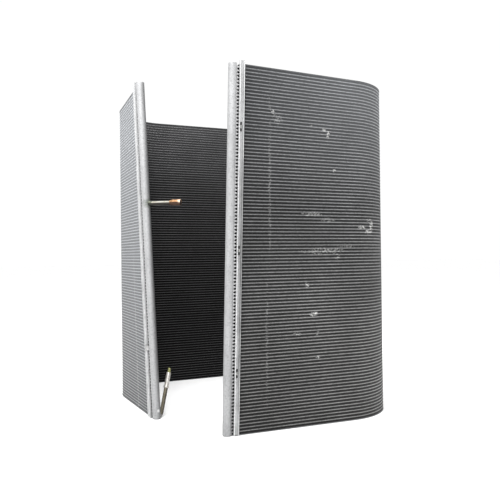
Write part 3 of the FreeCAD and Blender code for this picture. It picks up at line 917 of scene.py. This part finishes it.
def square_to(direction):
    """Two unit vectors square to a direction and to each other."""
    side = np.cross(direction, (0.0, 0.0, 1.0))
    side /= np.linalg.norm(side)
    return side, np.cross(side, direction)


def stations(outline, origin, radius, way=1):
    """Distances along an axis and radii of an outline: the origin plus or less its distances, and
    the radius less its depths."""
    return [(origin + way * distance, radius - depth) for distance, depth in outline]


def turned_piece(name, profile, start, direction, finishes, node, second=()):
    """Turned shape on an axis: each station of the profile is a distance along it and a radius, and
    the profile closes on itself, so a bore is its own run of stations. A point is the axis plus the
    radius times a circle. The faces after the stations in second have the second finish."""
    side, other = square_to(direction)
    turn = np.linspace(0, 2 * math.pi, PIPE_ROUND, endpoint=False)
    circle = np.cos(turn)[:, None] * side + np.sin(turn)[:, None] * other
    distance, radius = np.array(profile + profile[:1]).T
    axis = start + distance[None, :, None] * direction
    points = axis + radius[None, :, None] * circle[:, None, :]
    which = np.tile(np.isin(np.arange(len(profile)), second).astype(int), PIPE_ROUND)
    piece(name, points, tube_faces(1, PIPE_ROUND, len(distance), caps=False), finishes,
          [node], sharp=35.0, which=which)


def gas_stub():
    """Pipe with a braze collar at its root, and the swaged copper socket over its end."""
    way = stub_way(GAS_STUB_ANGLE)
    axis = inlet_axis(GAS_STUB_HEIGHT)
    end = HEADER_RADIUS + GAS_PIPE_LENGTH
    outer = GAS_PIPE_RADIUS
    bore = outer - GAS_PIPE_WALL
    turned_piece("gas_pipe", [
        (BRAZE_COLLAR[0][0], bore), *stations(BRAZE_COLLAR, 0.0, outer),
        (end - PIPE_END_EASE, outer), (end, outer - PIPE_END_EASE), (end, bore),
    ], axis, way, (pipe_metal, braze_metal), "gas_stub_pipe", (1, 2, 3, 4, 5))
    bell = SOCKET_BORE_RADIUS + SOCKET_WALL
    foot = end - (SOCKET_LENGTH - SOCKET_DEPTH)
    mouth = foot + SOCKET_LENGTH
    turned_piece("copper_socket", [
        *stations(SOCKET_SWAGE, foot, outer), *stations(SOCKET_BELL, foot, bell),
        *stations(SOCKET_LIP, mouth, bell, -1),
        *stations(SOCKET_INNER_LIP, mouth, SOCKET_BORE_RADIUS, -1),
        (end, SOCKET_BORE_RADIUS), (end, outer),
    ], axis, way, (copper, bore_shade), "gas_stub_socket", (11, 12, 13))


# Side of the liquid pipe that takes the painted shade
PIPE_SHADE_ANGLE = math.radians(241)


def liquid_stub():
    """Pipe that leaves the foot of the header, turns up and leans away, with its collar, sleeve and
    tip. The pipe is a circle carried along a line, an arc and a line in one upright plane. Its
    map's share is one along the side with painted shade and falls to nought on the other side
    with the cosine."""
    way = stub_way(LIQUID_STUB_ANGLE)
    up = np.array([0.0, 0.0, 1.0])
    side = np.cross(up, way)
    turn = math.radians(90 - LIQUID_LEAN_ANGLE)
    start = inlet_axis(LIQUID_STUB_HEIGHT) + way * (HEADER_RADIUS + LIQUID_RUN_OUT)
    angle = np.linspace(0, turn, ELBOW_POINTS)
    bend = np.sin(angle)[:, None] * way + (1 - np.cos(angle))[:, None] * up
    arc = start + LIQUID_BEND_RADIUS * bend
    direction = way * math.cos(turn) + up * math.sin(turn)
    end = arc[-1]
    top = LIQUID_PIPE_RISE + COLLAR_LENGTH + SLEEVE_LENGTH - TIP_SEAT
    rise = np.linspace(0, top, RISE_POINTS + 1)[1:]
    root = start - way * np.array(LIQUID_FILLET_PLACES)[:, None]
    path = np.concatenate([root, arc, end + rise[:, None] * direction])
    lean = np.concatenate([np.zeros(len(root)), angle, np.full(len(rise), turn)])
    normal = np.cos(lean)[:, None] * up - np.sin(lean)[:, None] * way
    radius = np.full(len(path), LIQUID_PIPE_RADIUS)
    radius[:len(LIQUID_FILLET)] += LIQUID_FILLET
    circle = np.linspace(0, 2 * math.pi, PIPE_ROUND, endpoint=False)[:, None, None]
    points = path + radius[:, None] * (np.cos(circle) * normal + np.sin(circle) * side)
    shaded_side = 0.5 + 0.5 * np.cos(circle[..., 0] - PIPE_SHADE_ANGLE)
    share = np.broadcast_to(shaded_side, points.shape[:2])
    fillet = np.tile(np.arange(len(path) - 1) < len(root), PIPE_ROUND).astype(int)
    piece("liquid_pipe", points, tube_faces(1, PIPE_ROUND, len(path)), (brown_pipe, pale_weld),
          ["liquid_stub_pipe"],
          uv=np.stack([np.broadcast_to(np.arange(len(path)), share.shape), share], axis=-1),
          which=np.append(fillet, (0, 0)))
    inner = LIQUID_PIPE_RADIUS
    sleeve_end = COLLAR_LENGTH + SLEEVE_LENGTH
    turned_piece("liquid_sleeve", [
        (0.0, inner), *stations(COLLAR_OUTLINE, 0.0, COLLAR_RADIUS),
        *stations(SLEEVE_OUTLINE, 0.0, SLEEVE_RADIUS),
        *stations(SLEEVE_LIP, sleeve_end, SLEEVE_RADIUS, -1),
        (sleeve_end, inner + SLEEVE_EASE), (sleeve_end, inner),
    ], end + direction * LIQUID_PIPE_RISE, direction, sleeve_metal,
        "liquid_stub_sleeve")
    bore = TIP_RADIUS - TIP_WALL
    tip_end = TIP_SEAT + TIP_LENGTH
    turned_piece("liquid_tip", [
        (0.0, bore), (0.0, inner), (TIP_SEAT, inner), (TIP_SEAT, TIP_RADIUS),
        *stations(TIP_LIP, tip_end, TIP_RADIUS, -1), (tip_end, bore),
    ], end + direction * top, direction, brass, "liquid_stub_tip")


flat_tubes()
fin_rows()
header("return_header_tube", "return_header", front_leg, return_metal)
header("inlet_header_tube", "inlet_header", left_leg, inlet_metal)
channel("right_channel", "right_edge_channel", front_leg, RIGHT_CHANNEL_OVERHANG, right_sheet)
channel("left_channel", "left_edge_channel", left_leg, LEFT_CHANNEL_OVERHANG, left_sheet)
gas_stub()
liquid_stub()

# The solids that stay as they are, each with its finish
for node, finish in {
    "bottom_side_plate": plate_metal, "top_side_plate": plate_metal,
    "return_header_caps": cap_metal, "inlet_header_caps": cap_metal,
    "inlet_header_baffle": cap_metal, "right_edge_channel_clips": clip_metal,
    "left_edge_channel_clips": tab_metal, "channel_tie_tab": tab_metal,
}.items():
    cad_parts[node].data.materials.clear()
    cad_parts[node].data.materials.append(finish)

FLOOR_REACH = 30.0
FLOOR_DROP = 0.0004


def floor():
    """Pale level floor just under the coil."""
    corners = [(-1, -1), (1, -1), (1, 1), (-1, 1)]
    mesh = bpy.data.meshes.new("floor")
    mesh.from_pydata([(x * FLOOR_REACH, y * FLOOR_REACH, -FLOOR_DROP) for x, y in corners], [],
                     [(0, 1, 2, 3)])
    finish, _, shader, _ = start_finish("pale_floor", metallic=0.0, roughness=0.8)
    shader.inputs["Base Color"].default_value = (0.98, 0.98, 0.98, 1.0)
    mesh.materials.append(finish)
    made = bpy.data.objects.new("floor", mesh)
    bpy.context.scene.collection.objects.link(made)


def soft_light(name, place, target, size, power):
    """Square lamp that faces a point."""
    lamp = bpy.data.lights.new(name, "AREA")
    lamp.size = size
    lamp.energy = power
    made = bpy.data.objects.new(name, lamp)
    facing = (Vector(target) - Vector(place)).to_track_quat("-Z", "Y").to_matrix().to_4x4()
    made.matrix_world = Matrix.Translation(place) @ facing
    bpy.context.scene.collection.objects.link(made)


def studio():
    """White surroundings, a soft lamp high at the front left and one overhead."""
    world = bpy.data.worlds.new("white_room")
    world.use_nodes = True
    background = world.node_tree.nodes["Background"].inputs
    background["Color"].default_value = (1.0, 1.0, 1.0, 1.0)
    background["Strength"].default_value = 1.02
    bpy.context.scene.world = world
    soft_light("key", (-1.4, -1.6, 2.4), (-0.1, -0.1, 0.8), size=2.4, power=75.0)
    soft_light("overhead", (-0.1, 0.0, 2.9), (0.0, 0.0, 0.0), size=1.6, power=80.0)
    bpy.context.scene.view_settings.view_transform = "Standard"


# Camera: the place and the angles that put the coil's outlines where the photograph has them
CAMERA_PLACE = (-0.76903, -1.86358, 0.49355)
CAMERA_YAW = 23.078
CAMERA_PITCH = 0.412
CAMERA_ROLL = -0.673
CAMERA_LENS = 42.493


def camera():
    """Camera that looks along the yaw to the right of +Y, raised by the pitch and rolled about its
    view."""
    yaw, pitch, roll = (math.radians(angle) for angle in (CAMERA_YAW, CAMERA_PITCH, CAMERA_ROLL))
    forward = Vector((math.sin(yaw) * math.cos(pitch), math.cos(yaw) * math.cos(pitch),
                      math.sin(pitch)))
    level = Vector((math.cos(yaw), -math.sin(yaw), 0.0))
    rise = level.cross(forward)
    right = level * math.cos(roll) + rise * math.sin(roll)
    up = rise * math.cos(roll) - level * math.sin(roll)
    data = bpy.data.cameras.new("camera")
    data.lens = CAMERA_LENS
    data.sensor_width = 36.0
    made = bpy.data.objects.new("camera", data)
    turn = Matrix((right, up, -forward)).transposed().to_4x4()
    made.matrix_world = Matrix.Translation(CAMERA_PLACE) @ turn
    bpy.context.scene.collection.objects.link(made)
    bpy.context.scene.camera = made


floor()
studio()
camera()
